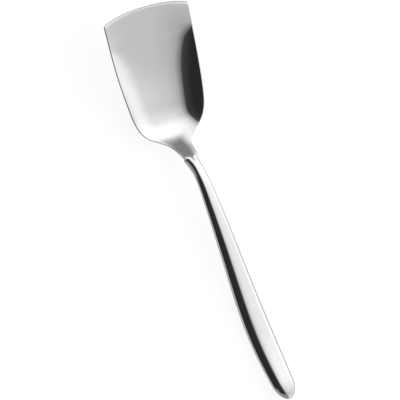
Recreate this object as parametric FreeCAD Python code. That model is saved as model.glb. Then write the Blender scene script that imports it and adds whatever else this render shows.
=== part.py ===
import FreeCAD, Part
import math
import os
from FreeCAD import Vector

# Ice cream spade, forged and pressed from one piece of stainless steel, in millimetres.
# It lies as it comes to rest on a table: the tail of the handle is at low Y, the front edge
# of the blade at high Y, +Z is up and +X runs across it. The handle's belly and the blade's
# heel touch Z = 0, and the origin is in the middle of the underside's bounding box.

# Lengths along the spade, each from the place before it
tail_to_belly = 20.0
belly_to_middle = 30.0
middle_to_arch = 24.0
arch_to_neck = 12.0
neck_to_throat = 5.0
throat_to_flare = 3.0
flare_to_shoulder = 4.0
shoulder_to_turn = 4.0
turn_to_corner = 6.0
corner_to_side = 12.0
side_to_front = 17.3
neck_to_heel = 14.0

# Widths seen from above
tail_width = 7.8
belly_width = 9.8
middle_width = 7.8
arch_width = 5.4
neck_width = 5.2
throat_width = 6.5
flare_width = 10.2
shoulder_width = 21.1
turn_width = 27.5
corner_width = 30.9
side_width = 33.7
front_width = 34.8
tail_round = 6.2
front_bow = 2.35
front_fullness = 2.5
corner_round = 0.45
corner_turn = math.radians(60)

# Heights of the underside above the table, which the belly and the heel touch
tail_lift = 1.8
middle_lift = 2.4
arch_lift = 5.4
neck_lift = 4.8
flare_lift = 1.4
corner_lift = 1.7
side_lift = 5.6
front_lift = 13.5

# Thickness of the steel, and the round of the blade's rim
tail_thickness = 3.8
belly_thickness = 4.4
arch_thickness = 3.1
neck_thickness = 2.4
shoulder_thickness = 1.6
corner_thickness = 0.95
front_thickness = 0.85
rim_round = 0.7

# Dish of the blade, a trough that flattens towards the front edge
turn_depth = 3.9
corner_depth = 4.1
side_depth = 3.95
front_depth = 1.65
trough_power = 2

# Fineness of the skin: points round each section, how many are drawn into the blade's rims,
# how many sections each stretch has, and points along the cut at the front
points_round = 24
rim_crowding = 0.7
tail_count = 6
handle_count = 12
shoulder_count = 16
blade_count = 12
bow_count = 12
tail_flat = 0.12
spline_degree = 3

# Places along the spade, from the tail
belly = tail_to_belly
middle = belly + belly_to_middle
arch = middle + middle_to_arch
neck = arch + arch_to_neck
throat = neck + neck_to_throat
flare = throat + throat_to_flare
shoulder = flare + flare_to_shoulder
turn = shoulder + shoulder_to_turn
corner = turn + turn_to_corner
side = corner + corner_to_side
front = side + side_to_front
heel = neck + neck_to_heel
length = front + front_bow


def through(*points):
    """Return the smooth line (natural cubic spline) through the points (place, value)."""
    place = [point[0] for point in points]
    value = [point[1] for point in points]
    last = len(points) - 1
    step = [place[i + 1] - place[i] for i in range(last)]
    slope = [(value[i + 1] - value[i]) / step[i] for i in range(last)]
    bend = [0.0] * (last + 1)
    upper = [0.0] * (last + 1)
    for i in range(1, last):
        pivot = 2 * (step[i - 1] + step[i]) - step[i - 1] * upper[i - 1]
        upper[i] = step[i] / pivot
        bend[i] = (6 * (slope[i] - slope[i - 1]) - step[i - 1] * bend[i - 1]) / pivot
    for i in range(last - 1, 0, -1):
        bend[i] -= upper[i] * bend[i + 1]

    def line(y):
        inside = min(max(y, place[0]), place[-1])
        i = max(k for k in range(last) if place[k] <= inside)
        t = inside - place[i]
        start = slope[i] - step[i] * (2 * bend[i] + bend[i + 1]) / 6
        twist = (bend[i + 1] - bend[i]) / step[i]
        height = value[i] + t * (start + t * (bend[i] / 2 + t * twist / 6))
        run = start + t * (bend[i] + t * twist / 2)
        return height + run * (y - inside)

    return line


def ease(y, start, end):
    """Rise smoothly from 0 at start to 1 at end."""
    t = min(max((y - start) / (end - start), 0.0), 1.0)
    return t ** 3 * (10 - 15 * t + 6 * t * t)


half_width = through(
    (0, tail_width / 2), (belly, belly_width / 2), (middle, middle_width / 2),
    (arch, arch_width / 2), (neck, neck_width / 2), (throat, throat_width / 2),
    (flare, flare_width / 2), (shoulder, shoulder_width / 2), (turn, turn_width / 2),
    (corner, corner_width / 2), (side, side_width / 2), (front, front_width / 2))
full_thickness = through(
    (0, tail_thickness), (belly, belly_thickness), (arch, arch_thickness),
    (neck, neck_thickness), (shoulder, shoulder_thickness), (corner, corner_thickness),
    (front, front_thickness))
underside = through(
    (0, tail_lift), (belly, 0), (middle, middle_lift), (arch, arch_lift), (neck, neck_lift),
    (flare, flare_lift), (heel, 0), (corner, corner_lift), (side, side_lift),
    (front, front_lift))
depth_line = through(
    (turn, turn_depth), (corner, corner_depth), (side, side_depth), (front, front_depth))

# The table touches the underside once below the handle and once below the blade
handle_touch = min(range(round(arch)), key=underside)
blade_touch = min(range(round(arch), round(front)), key=underside)
table = through(
    (handle_touch, underside(handle_touch)), (blade_touch, underside(blade_touch)))


def lift(y):
    """Return the height of the underside above the table."""
    return underside(y) - table(y)


def section(y):
    """Return the points round the cross-section at the place y, one closed loop."""
    closing = math.sqrt(1 - min(1 - y / tail_round, 1) ** 2) if y < tail_round else 1.0
    width = half_width(y) * closing
    half = full_thickness(y) * closing / 2
    centre = lift(y) + full_thickness(y) / 2
    depth = depth_line(max(y, turn)) * ease(y, neck, corner)
    into_rim = ease(y, neck, turn)
    rim_across = width + (rim_round - width) * into_rim
    rim_up = half + (min(rim_round, half) - half) * into_rim
    crowding = rim_crowding * into_rim
    loop = []
    for k in range(points_round):
        even = 2 * math.pi * (k + 0.5) / points_round
        angle = even - crowding * math.sin(2 * even) / 2
        x = width * math.cos(angle)
        share = abs(x) / width
        into_edge = max(abs(x) - (width - rim_across), 0) / rim_across
        thick = half - rim_up + rim_up * math.sqrt(max(1 - into_edge ** 2, 0))
        wall = depth * trough_power * share ** (trough_power - 1) / width
        tilt = math.atan(math.copysign(wall, x))
        offset = math.copysign(thick, math.sin(angle))
        rise = depth * share ** trough_power
        loop.append(Vector(x - offset * math.sin(tilt), y, centre + rise + offset * math.cos(tilt)))
    return loop


def stretch(start, end, count):
    """Return evenly spaced places from start up to, but not including, end."""
    return [start + (end - start) * k / count for k in range(count)]


def skin_solid():
    """Lay one smooth closed skin over all sections and cap its two ends."""
    first_turn = math.asin(tail_flat)
    turns = stretch(first_turn, math.pi / 2, tail_count)
    places = [tail_round * (1 - math.cos(turn)) for turn in turns]
    places += stretch(tail_round, arch, handle_count)
    places += stretch(arch, corner, shoulder_count)
    places += stretch(corner, front, blade_count)
    places += [front, length + front_bow]
    loops = [section(y) for y in places]
    travel = [0.0]
    for before, after in zip(loops, loops[1:]):
        travel.append(travel[-1] + before[0].distanceToPoint(after[0]))

    round_at = [float(k) for k in range(points_round + 1)]
    rings = []
    for loop in loops:
        ring = Part.BSplineCurve()
        ring.interpolate(Points=loop, Parameters=round_at, PeriodicFlag=True)
        rings.append(ring)
    rails = []
    for poles in zip(*[ring.getPoles() for ring in rings]):
        rail = Part.BSplineCurve()
        rail.interpolate(Points=list(poles), Parameters=travel)
        rails.append(rail)

    skin = Part.BSplineSurface()
    skin.buildFromPolesMultsKnots(
        [rail.getPoles() for rail in rails],
        rings[0].getMultiplicities(), rails[0].getMultiplicities(),
        rings[0].getKnots(), rails[0].getKnots(),
        True, False, spline_degree, spline_degree)
    side_face = skin.toShape()
    caps = [Part.Face(Part.Wire(ring.toShape())) for ring in (rings[0], rings[-1])]
    shell = Part.makeShell([side_face] + caps)
    shell.sewShape()
    return Part.Solid(shell)


def front_cut():
    """Return the block that is ground away in front of the bowed, round-cornered front edge."""
    tall = front_lift + front_width
    pitch = (underside(front) - underside(front - front_bow)) / front_bow
    inner = front_width / 2 - corner_round
    across = [inner * (2 * k / bow_count - 1) for k in range(bow_count + 1)]
    edge = [Vector(x, front + front_bow * (1 - (2 * abs(x) / front_width) ** front_fullness),
                   front_lift) for x in across]
    bow = Part.BSplineCurve()
    bow.interpolate(edge)

    def beside(side, turn, beyond):
        """Return a place on a corner's arc, turned from its start, or straight on beyond it."""
        back = corner_round * (1 - math.cos(turn)) + beyond * math.sin(turn)
        out = corner_round * math.sin(turn) + beyond * math.cos(turn)
        return Vector(side * (inner + out), edge[0].y - back, front_lift)

    arcs = [Part.Arc(beside(side, 0, 0), beside(side, corner_turn / 2, 0),
                     beside(side, corner_turn, 0)) for side in (-1, 1)]
    left, right = (beside(side, corner_turn, front_width) for side in (-1, 1))
    ahead = Vector(0, length + front_width, 0)
    around = Part.makePolygon([
        beside(1, corner_turn, 0), right, right + ahead, left + ahead, left,
        beside(-1, corner_turn, 0)])
    curves = [bow.toShape()] + [arc.toShape() for arc in arcs]
    outline = Part.Wire(Part.sortEdges(curves + around.Edges)[0])
    below = Vector(0, pitch, -1) * tall
    outline.translate(below)
    return Part.Face(outline).extrude(below * -2)


spade = skin_solid().cut(front_cut()).Solids[0]
box = spade.optimalBoundingBox(False)
spade.translate(Vector(-box.Center.x, -box.Center.y, -box.ZMin))

os.makedirs("parts", exist_ok=True)
spade.exportStep("parts/ice_cream_spade.step")
print("valid", spade.isValid(), "volume", spade.Volume)
print("size", box.XLength, box.YLength, box.ZLength)
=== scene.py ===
import math

import bpy
import numpy as np
from mathutils import Matrix, Vector


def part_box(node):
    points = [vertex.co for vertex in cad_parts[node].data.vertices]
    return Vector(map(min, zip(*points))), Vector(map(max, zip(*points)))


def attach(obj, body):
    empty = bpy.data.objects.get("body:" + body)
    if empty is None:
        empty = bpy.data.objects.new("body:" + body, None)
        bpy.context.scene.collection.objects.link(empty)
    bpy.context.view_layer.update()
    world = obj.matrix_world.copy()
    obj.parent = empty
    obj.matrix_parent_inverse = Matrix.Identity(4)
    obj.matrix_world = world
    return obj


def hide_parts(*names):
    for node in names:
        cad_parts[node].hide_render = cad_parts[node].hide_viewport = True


# Ice cream spade in polished stainless steel, on a pale floor under a soft studio light.
# The spade's own sizes are in millimetres, and the scene is in metres. The sizes repeat the
# CAD part's, apart from some in the neck and blade, which follow the photograph more closely.

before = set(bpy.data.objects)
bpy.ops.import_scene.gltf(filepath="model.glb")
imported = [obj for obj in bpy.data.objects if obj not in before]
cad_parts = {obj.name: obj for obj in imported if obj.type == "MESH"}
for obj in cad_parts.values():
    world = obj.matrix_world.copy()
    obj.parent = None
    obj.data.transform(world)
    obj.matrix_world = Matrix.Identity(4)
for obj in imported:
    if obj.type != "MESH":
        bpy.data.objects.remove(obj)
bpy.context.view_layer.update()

MM = 0.001
NODE = "ice_cream_spade"

# Places along the spade, from the tail
BELLY = 20.0
MIDDLE = BELLY + 30.0
ARCH = MIDDLE + 24.0
NECK = ARCH + 12.0
THROAT = NECK + 5.0
FLARE = THROAT + 3.0
SHOULDER = FLARE + 4.0
TURN = SHOULDER + 4.0
CORNER = TURN + 6.0
SIDE = CORNER + 12.0
FRONT = SIDE + 17.3
HEEL = NECK + 14.0

# Widths, heights of the underside, thicknesses and depths of the dish, as (place, value)
WIDTHS = ((0, 7.8), (BELLY, 9.8), (MIDDLE, 7.8), (ARCH, 5.4), (NECK, 5.2), (THROAT, 7.0),
          (FLARE, 10.2), (SHOULDER, 21.6), (TURN, 28.0), (CORNER, 31.1), (SIDE, 33.7),
          (FRONT, 34.8))
LIFTS = ((0, 1.8), (BELLY, 0.0), (MIDDLE, 2.4), (ARCH, 5.4), (NECK, 4.8), (FLARE, 1.4),
         (HEEL, 0.0), (CORNER, 1.7), (SIDE, 5.6), (FRONT, 13.5))
THICKNESSES = ((0, 3.8), (BELLY, 4.4), (ARCH, 3.1), (NECK, 2.4), (SHOULDER, 1.3),
               (CORNER, 0.75), (FRONT, 0.75))
DEPTHS = ((TURN, 3.9), (CORNER, 4.1), (SIDE, 3.95), (FRONT, 1.65))
TROUGH_POWER = 2

# The round tail, and how much of its tip is flat
TAIL_ROUND = 6.2
TAIL_FLAT = 0.12
TIP = TAIL_ROUND * (1 - math.sqrt(1 - TAIL_FLAT ** 2))

# The front edge's bow and the rounding of its two corners
FRONT_BOW = 2.35
FRONT_FULLNESS = 2.5
CORNER_ROUND = 0.45

# Rounding of the blade's rim on top and underneath, and of its front edge
RIM_ROUND = 0.3
UNDER_ROUND = 0.8
FRONT_ROUND = 1.25

# How much higher the neck domes on its top and where that comes in, where its top turns flat,
# how deep it is hollowed there, and where the dish comes in
NECK_DOME = 0.4
DOMING = (ARCH + 6, NECK)
FLATTENING = (NECK + 0.9, NECK + 2.1)
NECK_HOLLOW = 0.28
DISHING = (NECK + 4, CORNER - 2)

# How much fuller the dish's walls curve near the front edge, and how much tighter they curve
# before that, with the places where each comes in
FRONT_FILL = 0.27
FILLING = (FRONT - 11.0, FRONT - 6.6)
WALL_PINCH = 0.08
PINCHING = (SIDE - 1, SIDE + 5)

# Fineness of the mesh, and how much its points are drawn into the blade's rims
POINTS_ROUND = 240
RIM_CROWDING = 0.8
TAIL_RINGS = 26
HANDLE_STEP = 0.6
SHOULDER_STEP = 0.25
BLADE_STEP = 0.6
EDGE_RINGS = 14

# How often the front edge's place is worked out again, and into how many parts each move
# towards it is divided
EDGE_PASSES = 60
EDGE_DAMPING = 3

# Colours of the polished steel: the handle's own, and a darker one for the blade that is painted
# shade
HANDLE_STEEL = (0.77, 0.77, 0.765, 1)
SHADED_BLADE_STEEL = (0.67, 0.67, 0.665, 1)

# Polishing lines along the steel and faint clouds in it: their scales per metre, their detail,
# the roughness that each adds over the range of the noise, and the lines' bump and its height
LINE_SCALE = (9000, 260, 9000)
LINE_DETAIL = 4.0
LINE_ROUGHNESS = (0.035, 0.06)
CLOUD_SCALE = 160.0
CLOUD_DETAIL = 3.0
CLOUD_ROUGHNESS = (0.0, 0.03)
NOISE_RANGE = (0.3, 0.7)
LINE_BUMP = 0.03
LINE_HEIGHT = 0.00002

# Pale floor: its colour, its glow, the share of the glow that straight and mirrored rays see,
# and its reach each way in metres
FLOOR_COLOUR = (0.8, 0.8, 0.8, 1)
FLOOR_GLOW = 1.15
GLOW_SEEN = 0.8
GLOW_MIRRORED = 0.2
FLOOR_REACH = 4.0

# Studio light by direction, in degrees from straight up towards +X (across) and +Y (along).
# Right of the dark screen's edge it is a wide soft light: strengths by the degrees beyond
# the edge, times factors by the degrees along. Left of the edge it is a weak, even light, and
# the two fade into each other near it.
SKY_ACROSS = ((0, 0.27), (6, 0.65), (14, 0.85), (26, 0.96), (40, 1.0), (58, 1.03),
              (70, 1.24), (80, 1.22), (87, 0.98), (90, 0.9))
SKY_ALONG = ((-90, 1.0), (-60, 1.0), (-40, 0.82), (-30, 0.8), (-22, 0.89), (-14, 1.04),
             (-6, 1.1), (4, 1.29), (14, 1.34), (90, 1.34))
LEFT_SKY = 0.29
LEFT_FADE = (-8.0, 2.0)

# Dark screen: the place, slope and least place of its right edge, the rounding of its back
# corner there, and its ends at the back, ahead and on the left
SCREEN_EDGE = -1.0
SCREEN_EDGE_SLOPE = -0.137
SCREEN_EDGE_LEAST = -2.5
SCREEN_ROUND = 7.7
SCREEN_BACK = -34.7
SCREEN_AHEAD = 43.0
SCREEN_NEAR = -42.0

# A strip of the screen that reaches further left, and the factor that makes the sides of the
# strip and the left end of the screen fade slowly
SCREEN_FAR = -100.0
STRIP_MIDDLE = -3.0
STRIP_REACH = 17.0
SOFT_SIDE = 0.12

# The degrees over which the screen's outline fades, and its strengths well inside and at its
# right edge, with the degrees from that edge where they apply
SCREEN_BLUR = (-0.8, 0.8)
SCREEN_FADE = (-12.0, 0.0)
SCREEN_TONES = (0.029, 0.063)

# A dim patch ahead on the right: where it starts and ends each way, and its share of the light
DIM_AHEAD = (34.0, 52.0)
DIM_FAR = (67.0, 58.0)
DIM_LEFT = (13.0, 37.0)
DIM_RIGHT = (90.0, 54.0)
DIM_SHARE = 0.2

# Keeps the direction straight up from a division by zero
LEAST_LEVEL = 0.0001

# Where a new mark on a colour ramp lies until it gets its own place
SPARE_PLACE = 0.5

# Sockets of the shader node Mix for each kind of value: the low one, the high one, the result
MIX_SOCKETS = {"FLOAT": (2, 3, 0), "RGBA": (6, 7, 2)}

# Camera, in degrees and millimetres, with its clipping distances in metres: the photograph
# looks down from the left side, with the tail towards it
CAMERA_SIDE = 32.99
CAMERA_LEAN = 1.73
CAMERA_ROLL = 23.2
CAMERA_DISTANCE = 450.0
CAMERA_AIM = (-3.48, 73.05, 6.0)
CAMERA_SENSOR = 36
CAMERA_NEAR = 0.01
CAMERA_FAR = 20
PIXELS_PER_MM = 2.994
PHOTO_WIDTH = 400


def through(points):
    """Return the smooth line (natural cubic spline) through the points (place, value)."""
    place, value = np.array(points, float).T
    step = np.diff(place)
    slope = np.diff(value) / step
    last = len(place) - 1
    system = np.eye(last + 1)
    change = np.zeros(last + 1)
    for i in range(1, last):
        system[i, i - 1:i + 2] = step[i - 1], 2 * (step[i - 1] + step[i]), step[i]
        change[i] = 6 * (slope[i] - slope[i - 1])
    bend = np.linalg.solve(system, change)

    def line(y):
        inside = np.clip(y, place[0], place[-1])
        i = np.clip(np.searchsorted(place, inside, side="right") - 1, 0, last - 1)
        t = inside - place[i]
        start = slope[i] - step[i] * (2 * bend[i] + bend[i + 1]) / 6
        twist = (bend[i + 1] - bend[i]) / step[i]
        height = value[i] + t * (start + t * (bend[i] / 2 + t * twist / 6))
        run = start + t * (bend[i] + t * twist / 2)
        return height + run * (y - inside)

    return line


def ease(y, start, end):
    """Rise smoothly from 0 at start to 1 at end."""
    t = np.clip((y - start) / (end - start), 0, 1)
    return t ** 3 * (10 - 15 * t + 6 * t * t)


full_width = through(WIDTHS)
full_thickness = through(THICKNESSES)
underside = through(LIFTS)
depth_line = through(DEPTHS)

# The table touches the underside once below the handle and once below the blade
handle_touch = min(range(round(ARCH)), key=underside)
blade_touch = min(range(round(ARCH), round(FRONT)), key=underside)
table = through((
    (handle_touch, underside(handle_touch)), (blade_touch, underside(blade_touch))))
front_pitch = (underside(FRONT) - underside(FRONT - FRONT_BOW)) / FRONT_BOW


def dish(y, share):
    """Return how high the dish rises at this share of the half width, and how steeply."""
    hollow = NECK_HOLLOW * ease(y, *FLATTENING)
    depth = hollow + (depth_line(np.maximum(y, TURN)) - hollow) * ease(y, *DISHING)
    fill = (FRONT_FILL + WALL_PINCH) * ease(y, *FILLING) - WALL_PINCH * ease(y, *PINCHING)
    fuller = 1 + fill * (1 - share ** 2)
    rise = depth * share ** TROUGH_POWER * fuller
    wall = TROUGH_POWER * share ** (TROUGH_POWER - 1) * fuller
    wall = wall - 2 * fill * share ** (TROUGH_POWER + 1)
    return rise, depth * wall


def skin(y, even, closing=1.0, inset=0.0):
    """Return points of the surface at the places y, spread round it by the even angles.

    The section is shrunk by the closing, and the inset is taken off its top and underside.
    """
    width = full_width(y) / 2 * closing
    thickness = full_thickness(y) * closing
    flat = ease(y, *FLATTENING)
    dome = thickness / 2 * (1 + NECK_DOME * ease(y, *DOMING))
    above = dome + (RIM_ROUND - dome) * flat
    below = thickness - above
    into_rim = ease(y, NECK, CORNER)
    angle = even - RIM_CROWDING * into_rim * np.sin(2 * even) / 2
    upper = np.sin(angle) > 0
    x = width * np.cos(angle)
    share = np.abs(x) / width
    rim = width + np.where(upper, (RIM_ROUND - width) * flat, (UNDER_ROUND - width) * into_rim)
    into_edge = np.maximum(np.abs(x) - (width - rim), 0) / rim
    offset = np.where(upper, above, -below) * np.sqrt(np.maximum(1 - into_edge ** 2, 0))
    offset = offset * (1 - 2 * inset / thickness)
    rise, steepness = dish(y, share)
    tilt = np.arctan(np.copysign(steepness / width, x))
    seam = underside(y) - table(y) + full_thickness(y) / 2 + thickness / 2 - above
    return np.stack([x - offset * np.sin(tilt), y + 0 * x,
                     seam + rise + offset * np.cos(tilt)], axis=-1)


def front_place(even):
    """Return where the bowed, leaning, round-cornered front edge cuts the skin."""
    y = np.full(even.shape, FRONT)
    half_front = WIDTHS[-1][1] / 2
    for _ in range(EDGE_PASSES):
        x, _, z = skin(y, even).T
        bow = FRONT_BOW * (1 - (np.abs(x) / half_front) ** FRONT_FULLNESS)
        into_corner = np.clip((np.abs(x) - half_front) / CORNER_ROUND + 1, 0, 1)
        back = CORNER_ROUND * (1 - np.sqrt(1 - into_corner ** 2))
        cut = FRONT + bow - back + front_pitch * (underside(FRONT) - z)
        y = y + (cut - y) / EDGE_DAMPING
    return y


def spade_points():
    """Return the rings of surface points from the tail to the front edge."""
    even = 2 * np.pi * (np.arange(POINTS_ROUND) + 0.5) / POINTS_ROUND
    rings = []
    for turn in np.linspace(0, np.pi / 2, TAIL_RINGS + 1)[1:-1]:
        y = TIP + (TAIL_ROUND - TIP) * (1 - math.cos(turn))
        rings.append(skin(y, even, closing=math.sin(turn)))
    places = np.concatenate([
        np.arange(TAIL_ROUND, ARCH, HANDLE_STEP),
        np.arange(ARCH, CORNER, SHOULDER_STEP)])
    rings += [skin(y, even) for y in places]
    end = front_place(even)
    for share in np.linspace(0, 1, round((FRONT - CORNER) / BLADE_STEP)):
        rings.append(skin(CORNER + share * (end - FRONT_ROUND - CORNER), even))
    for turn in np.linspace(0, np.pi / 2, EDGE_RINGS + 1)[1:]:
        y = end - FRONT_ROUND * (1 - math.sin(turn))
        rings.append(skin(y, even, inset=RIM_ROUND * (1 - math.cos(turn))))
    return np.array(rings)


def new_mesh(name, points, faces, material):
    """Make a smooth-shaded mesh object from points in metres."""
    data = bpy.data.meshes.new(name)
    data.from_pydata([tuple(point) for point in points], [], faces)
    data.validate()
    data.shade_smooth()
    data.materials.append(material)
    piece = bpy.data.objects.new(name, data)
    bpy.context.scene.collection.objects.link(piece)
    return piece


def make_spade(material):
    """Build the spade's finely curved skin where the CAD node lies."""
    rings = spade_points()
    count = len(rings)
    faces = []

    # Join each ring to the next
    for i in range(count - 1):
        for k in range(POINTS_ROUND):
            after = (k + 1) % POINTS_ROUND
            faces.append((i * POINTS_ROUND + k, i * POINTS_ROUND + after,
                          (i + 1) * POINTS_ROUND + after, (i + 1) * POINTS_ROUND + k))

    # Close the tail round a point in its middle
    points = rings.reshape(-1, 3)
    tail = len(points)
    points = np.vstack([points, rings[0].mean(axis=0)])
    points[tail, 1] = TIP
    for k in range(POINTS_ROUND):
        faces.append((tail, (k + 1) % POINTS_ROUND, k))

    # Close the front edge from its top to its underside
    half = POINTS_ROUND // 2
    base = (count - 1) * POINTS_ROUND
    for k in range(half - 1):
        faces.append((base + k, base + k + 1,
                      base + POINTS_ROUND - 2 - k, base + POINTS_ROUND - 1 - k))

    # Lay the skin on the floor, with the length and width of the node's box
    low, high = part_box(NODE)
    points = points * MM
    points[:, 0] *= high.x / points[:, 0].max()
    reach = points[:, 1].max() - points[:, 1].min()
    points[:, 1] = high.y + (points[:, 1] - points[:, 1].max()) * (high.y - low.y) / reach
    points[:, 2] += low.z - points[:, 2].min()
    return new_mesh("spade_steel", points, faces, material)


class Graph:
    """Short ways to put shader nodes into a node tree."""

    def __init__(self, tree):
        self.tree = tree
        tree.nodes.clear()

    def node(self, kind, inputs=(), **settings):
        """Return a new node with these inputs and settings."""
        made = self.tree.nodes.new(kind)
        for name, value in settings.items():
            setattr(made, name, value)
        for name, value in dict(inputs).items():
            self.feed(made.inputs[name], value)
        return made

    def feed(self, socket, value):
        """Link the socket to another one, or give it a plain value."""
        if isinstance(value, bpy.types.NodeSocket):
            self.tree.links.new(value, socket)
        else:
            socket.default_value = value

    def math(self, operation, *values):
        """Return the result of a Math node."""
        made = self.node("ShaderNodeMath", operation=operation)
        for socket, value in zip(made.inputs, values):
            self.feed(socket, value)
        return made.outputs[0]

    def spread(self, value, low, high, to_low=0.0, to_high=1.0):
        """Return to_low where value is at low, to_high where it is at high, smoothly between."""
        made = self.node("ShaderNodeMapRange", interpolation_type="SMOOTHSTEP")
        for name, given in (("Value", value), ("From Min", low), ("From Max", high),
                            ("To Min", to_low), ("To Max", to_high)):
            self.feed(made.inputs[name], given)
        return made.outputs["Result"]

    def profile(self, value, stops):
        """Return the strength that the stops (place, strength) give at value."""
        first, last = stops[0][0], stops[-1][0]
        most = max(strength for _, strength in stops)
        scaled = self.math("DIVIDE", self.math("SUBTRACT", value, first), last - first)
        ramp = self.node("ShaderNodeValToRGB", {"Fac": scaled})
        ramp.color_ramp.interpolation = "CARDINAL"
        marks = ramp.color_ramp.elements
        while len(marks) < len(stops):
            marks.new(SPARE_PLACE)
        for mark, (place, strength) in zip(marks, stops):
            mark.position = (place - first) / (last - first)
            mark.color = (strength / most, strength / most, strength / most, 1)
        return self.math("MULTIPLY", ramp.outputs["Color"], most)

    def mix(self, share, low, high, kind="FLOAT"):
        """Return the mix of two numbers, or of two colours where the kind is RGBA."""
        low_socket, high_socket, result = MIX_SOCKETS[kind]
        made = self.node("ShaderNodeMix", data_type=kind)
        self.feed(made.inputs[0], share)
        self.feed(made.inputs[low_socket], low)
        self.feed(made.inputs[high_socket], high)
        return made.outputs[result]

    def mix_shaders(self, share, first, second):
        """Return the mix of the two nodes' shaders."""
        made = self.node("ShaderNodeMixShader")
        self.feed(made.inputs[0], share)
        self.feed(made.inputs[1], first.outputs[0])
        self.feed(made.inputs[2], second.outputs[0])
        return made

    def finish(self, kind, shader):
        """Lead the shader into the tree's output node of this kind."""
        out = self.node(kind)
        self.feed(out.inputs["Surface"], shader.outputs[0])


def new_material(name):
    """Return a new material and the graph for its nodes."""
    material = bpy.data.materials.new(name)
    material.use_nodes = True
    return material, Graph(material.node_tree)


def polished_steel(shade_from, shade_to):
    """Mirror-polished stainless steel, with painted shade that makes the blade greyer than the
    handle.
    """
    material, g = new_material("polished_steel")
    place = g.node("ShaderNodeTexCoord").outputs["Object"]
    along = g.node("ShaderNodeMapping", {"Vector": place, "Scale": LINE_SCALE})
    lines = g.node("ShaderNodeTexNoise", {"Vector": along.outputs[0], "Scale": 1.0,
                                          "Detail": LINE_DETAIL})
    clouds = g.node("ShaderNodeTexNoise", {"Vector": place, "Scale": CLOUD_SCALE,
                                           "Detail": CLOUD_DETAIL})
    rough = g.math("ADD", g.spread(lines.outputs[0], *NOISE_RANGE, *LINE_ROUGHNESS),
                   g.spread(clouds.outputs[0], *NOISE_RANGE, *CLOUD_ROUGHNESS))
    bump = g.node("ShaderNodeBump", {"Height": lines.outputs[0], "Strength": LINE_BUMP,
                                     "Distance": LINE_HEIGHT})
    parts = g.node("ShaderNodeSeparateXYZ", {"Vector": place})
    # Painted shade: the steel's colour darkens from the shoulder to the corner, so the blade's
    # reflections come out dimmer
    blade_shade = g.spread(parts.outputs["Y"], shade_from, shade_to)
    steel = g.mix(blade_shade, HANDLE_STEEL, SHADED_BLADE_STEEL, "RGBA")
    shader = g.node("ShaderNodeBsdfPrincipled", {
        "Base Color": steel, "Metallic": 1.0, "Roughness": rough, "Normal": bump.outputs[0]})
    g.finish("ShaderNodeOutputMaterial", shader)
    return material


def shown_rays(g):
    """Return 1 for rays that see the background straight, and 1 for mirrored or clear ones."""
    rays = g.node("ShaderNodeLightPath")
    mirrored = g.math("MAXIMUM", rays.outputs["Is Glossy Ray"],
                      rays.outputs["Is Transmission Ray"])
    return rays.outputs["Is Camera Ray"], mirrored


def floor_material():
    """Pale floor that looks white and keeps a soft shadow."""
    material, g = new_material("pale_floor")
    dull = g.node("ShaderNodeBsdfDiffuse", {"Color": FLOOR_COLOUR})
    glow = g.node("ShaderNodeEmission", {"Strength": FLOOR_GLOW})
    seen, mirrored = shown_rays(g)
    share = g.math("MAXIMUM", g.math("MULTIPLY", seen, GLOW_SEEN),
                   g.math("MULTIPLY", mirrored, GLOW_MIRRORED))
    g.finish("ShaderNodeOutputMaterial", g.mix_shaders(share, dull, glow))
    return material


def make_floor():
    """A wide pale floor under the spade."""
    corners = [(side * FLOOR_REACH, end * FLOOR_REACH, 0)
               for side, end in ((-1, -1), (1, -1), (1, 1), (-1, 1))]
    floor = new_mesh("floor", corners, [(0, 1, 2, 3)], floor_material())


def dark_screen(g, across, along, beyond):
    """Return how far, in degrees, a direction lies outside the dark screen."""
    right = g.math("ADD", beyond, SCREEN_ROUND)
    back = g.math("SUBTRACT", SCREEN_BACK + SCREEN_ROUND, along)
    out_right = g.math("MAXIMUM", right, 0.0)
    out_back = g.math("MAXIMUM", back, 0.0)
    corner = g.math("SQRT", g.math("ADD", g.math("MULTIPLY", out_right, out_right),
                                   g.math("MULTIPLY", out_back, out_back)))
    inside = g.math("MINIMUM", g.math("MAXIMUM", right, back), 0.0)
    sharp = g.math("SUBTRACT", g.math("ADD", corner, inside), SCREEN_ROUND)
    ahead = g.math("SUBTRACT", along, SCREEN_AHEAD)
    left = g.math("MULTIPLY", g.math("SUBTRACT", SCREEN_NEAR, across), SOFT_SIDE)
    sheet = g.math("MAXIMUM", sharp, g.math("MAXIMUM", ahead, left))
    off_strip = g.math("ABSOLUTE", g.math("SUBTRACT", along, STRIP_MIDDLE))
    side = g.math("MULTIPLY", g.math("SUBTRACT", off_strip, STRIP_REACH), SOFT_SIDE)
    far = g.math("MAXIMUM", side, g.math("SUBTRACT", SCREEN_FAR, across))
    return g.math("MINIMUM", sheet, g.math("MAXIMUM", beyond, far))


def sky_direction(g):
    """Return a direction's degrees from straight up, across and along."""
    parts = g.node("ShaderNodeSeparateXYZ",
                   {"Vector": g.node("ShaderNodeTexCoord").outputs["Generated"]})
    x, y, z = parts.outputs
    level = g.math("SQRT", g.math("ADD", g.math("MULTIPLY", x, x), g.math("MULTIPLY", y, y)))
    level = g.math("MAXIMUM", level, LEAST_LEVEL)
    turn = g.math("DIVIDE", g.math("DEGREES", g.math("ARCCOSINE", z)), level)
    return g.math("MULTIPLY", turn, x), g.math("MULTIPLY", turn, y)


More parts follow.
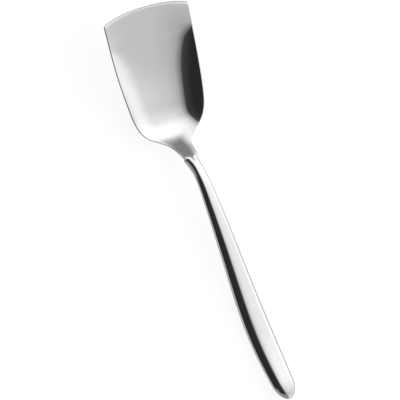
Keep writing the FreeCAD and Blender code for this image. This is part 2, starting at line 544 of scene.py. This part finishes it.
def light_studio():
    """Light the spade by a soft light on its right and a dark screen on its left."""
    world = bpy.data.worlds.new("studio")
    world.use_nodes = True
    bpy.context.scene.world = world
    g = Graph(world.node_tree)
    across, along = sky_direction(g)
    edge = g.math("MAXIMUM", SCREEN_EDGE_LEAST,
                  g.math("MULTIPLY_ADD", along, SCREEN_EDGE_SLOPE, SCREEN_EDGE))
    beyond = g.math("SUBTRACT", across, edge)
    sky = g.math("MULTIPLY", g.profile(beyond, SKY_ACROSS), g.profile(along, SKY_ALONG))
    sky = g.mix(g.spread(beyond, *LEFT_FADE), LEFT_SKY, sky)
    dim_along = g.math("MULTIPLY", g.spread(along, *DIM_AHEAD), g.spread(along, *DIM_FAR))
    dim_across = g.math("MULTIPLY", g.spread(across, *DIM_LEFT), g.spread(across, *DIM_RIGHT))
    dim = g.math("MULTIPLY", dim_along, dim_across)
    sky = g.math("MULTIPLY", sky, g.mix(dim, 1.0, DIM_SHARE))
    dark = g.spread(beyond, *SCREEN_FADE, *SCREEN_TONES)
    outside = g.spread(dark_screen(g, across, along, beyond), *SCREEN_BLUR)
    tone = g.mix(outside, dark, sky)
    studio = g.node("ShaderNodeBackground", {"Color": (1, 1, 1, 1), "Strength": tone})
    white = g.node("ShaderNodeBackground", {"Color": (1, 1, 1, 1), "Strength": 1.0})
    seen = g.node("ShaderNodeLightPath").outputs["Is Camera Ray"]
    g.finish("ShaderNodeOutputWorld", g.mix_shaders(seen, studio, white))


def place_camera(tail_tip):
    """Look at the spade as the photograph does."""
    side, lean, roll = (math.radians(a) for a in (CAMERA_SIDE, CAMERA_LEAN, CAMERA_ROLL))
    level = Vector((math.cos(side), 0, math.sin(side)))
    steep = Vector((-math.sin(side), 0, math.cos(side)))
    ahead = Vector((0, 1, 0))
    upward = ahead * math.cos(lean) + steep * math.sin(lean)
    back = steep * math.cos(lean) - ahead * math.sin(lean)
    right = level * math.cos(roll) - upward * math.sin(roll)
    up = level * math.sin(roll) + upward * math.cos(roll)
    data = bpy.data.cameras.new("camera")
    data.sensor_width = CAMERA_SENSOR
    data.lens = PIXELS_PER_MM * CAMERA_DISTANCE / PHOTO_WIDTH * data.sensor_width
    data.clip_start = CAMERA_NEAR
    data.clip_end = CAMERA_FAR
    camera = bpy.data.objects.new("camera", data)
    bpy.context.scene.collection.objects.link(camera)
    aim = Vector(CAMERA_AIM) * MM + Vector((0, tail_tip, 0))
    matrix = Matrix((right, up, back)).transposed().to_4x4()
    matrix.translation = aim + back * CAMERA_DISTANCE * MM
    camera.matrix_world = matrix
    bpy.context.scene.camera = camera


tail_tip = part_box(NODE)[0].y - TIP * MM
# The blade's painted shade comes in between the shoulder and the corner
steel = polished_steel(tail_tip + SHOULDER * MM, tail_tip + CORNER * MM)
spade = make_spade(steel)
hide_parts(NODE)
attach(spade, "root")

make_floor()
light_studio()
place_camera(tail_tip)
bpy.context.scene.view_settings.view_transform = "Standard"
